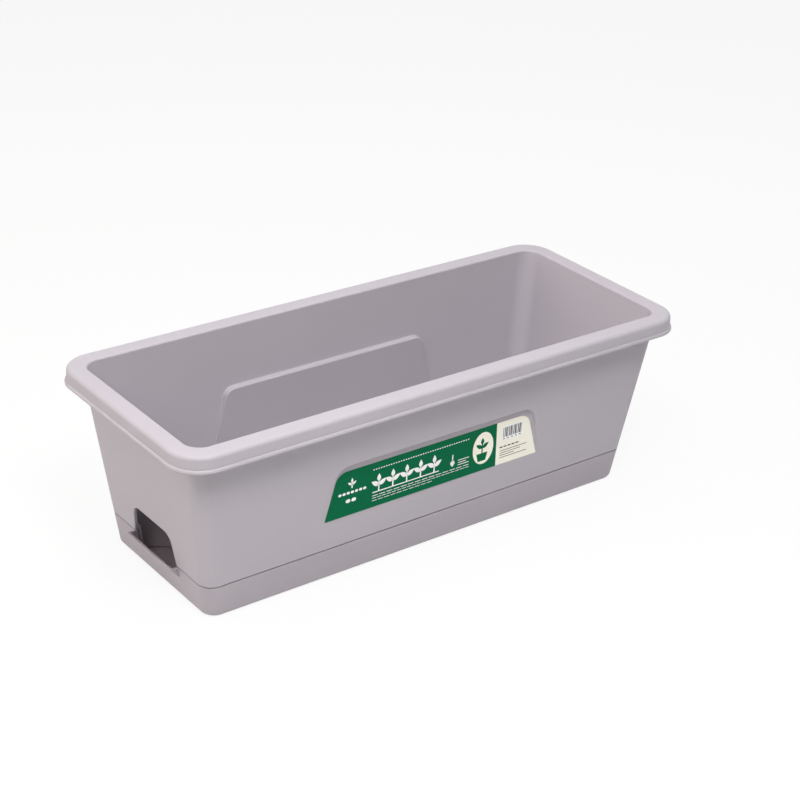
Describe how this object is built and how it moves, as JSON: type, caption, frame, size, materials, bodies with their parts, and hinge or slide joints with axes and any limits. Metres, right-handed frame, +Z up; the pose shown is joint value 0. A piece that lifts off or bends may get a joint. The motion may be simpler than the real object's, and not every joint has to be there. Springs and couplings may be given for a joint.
{
  "type": "rectangular planter",
  "caption": "Long rectangular planter with leaning walls and a rolled rim, standing in a water tray with a fill window and a pouring lip at one end.",
  "frame": {"origin": "middle of the footprint, on the surface that the planter stands on", "axes": "+X along the length, away from the fill window, +Y towards the back, +Z up; the label is on the -Y wall"},
  "size_m": [0.51, 0.21, 0.165],
  "materials": {
    "body_plastic": "fine matt moulded polypropylene, warm lilac grey",
    "tray_plastic": "fine matt moulded polypropylene, warm lilac grey",
    "label_film": "satin printed film, green with a cream end"
  },
  "bodies": {
    "tray": {"water_tray": "tray_plastic"},
    "planter": {"planter_body": "body_plastic", "front_label": "label_film"}
  },
  "joints": [
    {"name": "lift_out", "type": "slide", "parent": "tray", "child": "planter", "axis": [0, 0, 1], "range_m": [0, 0.06]}
  ]
}
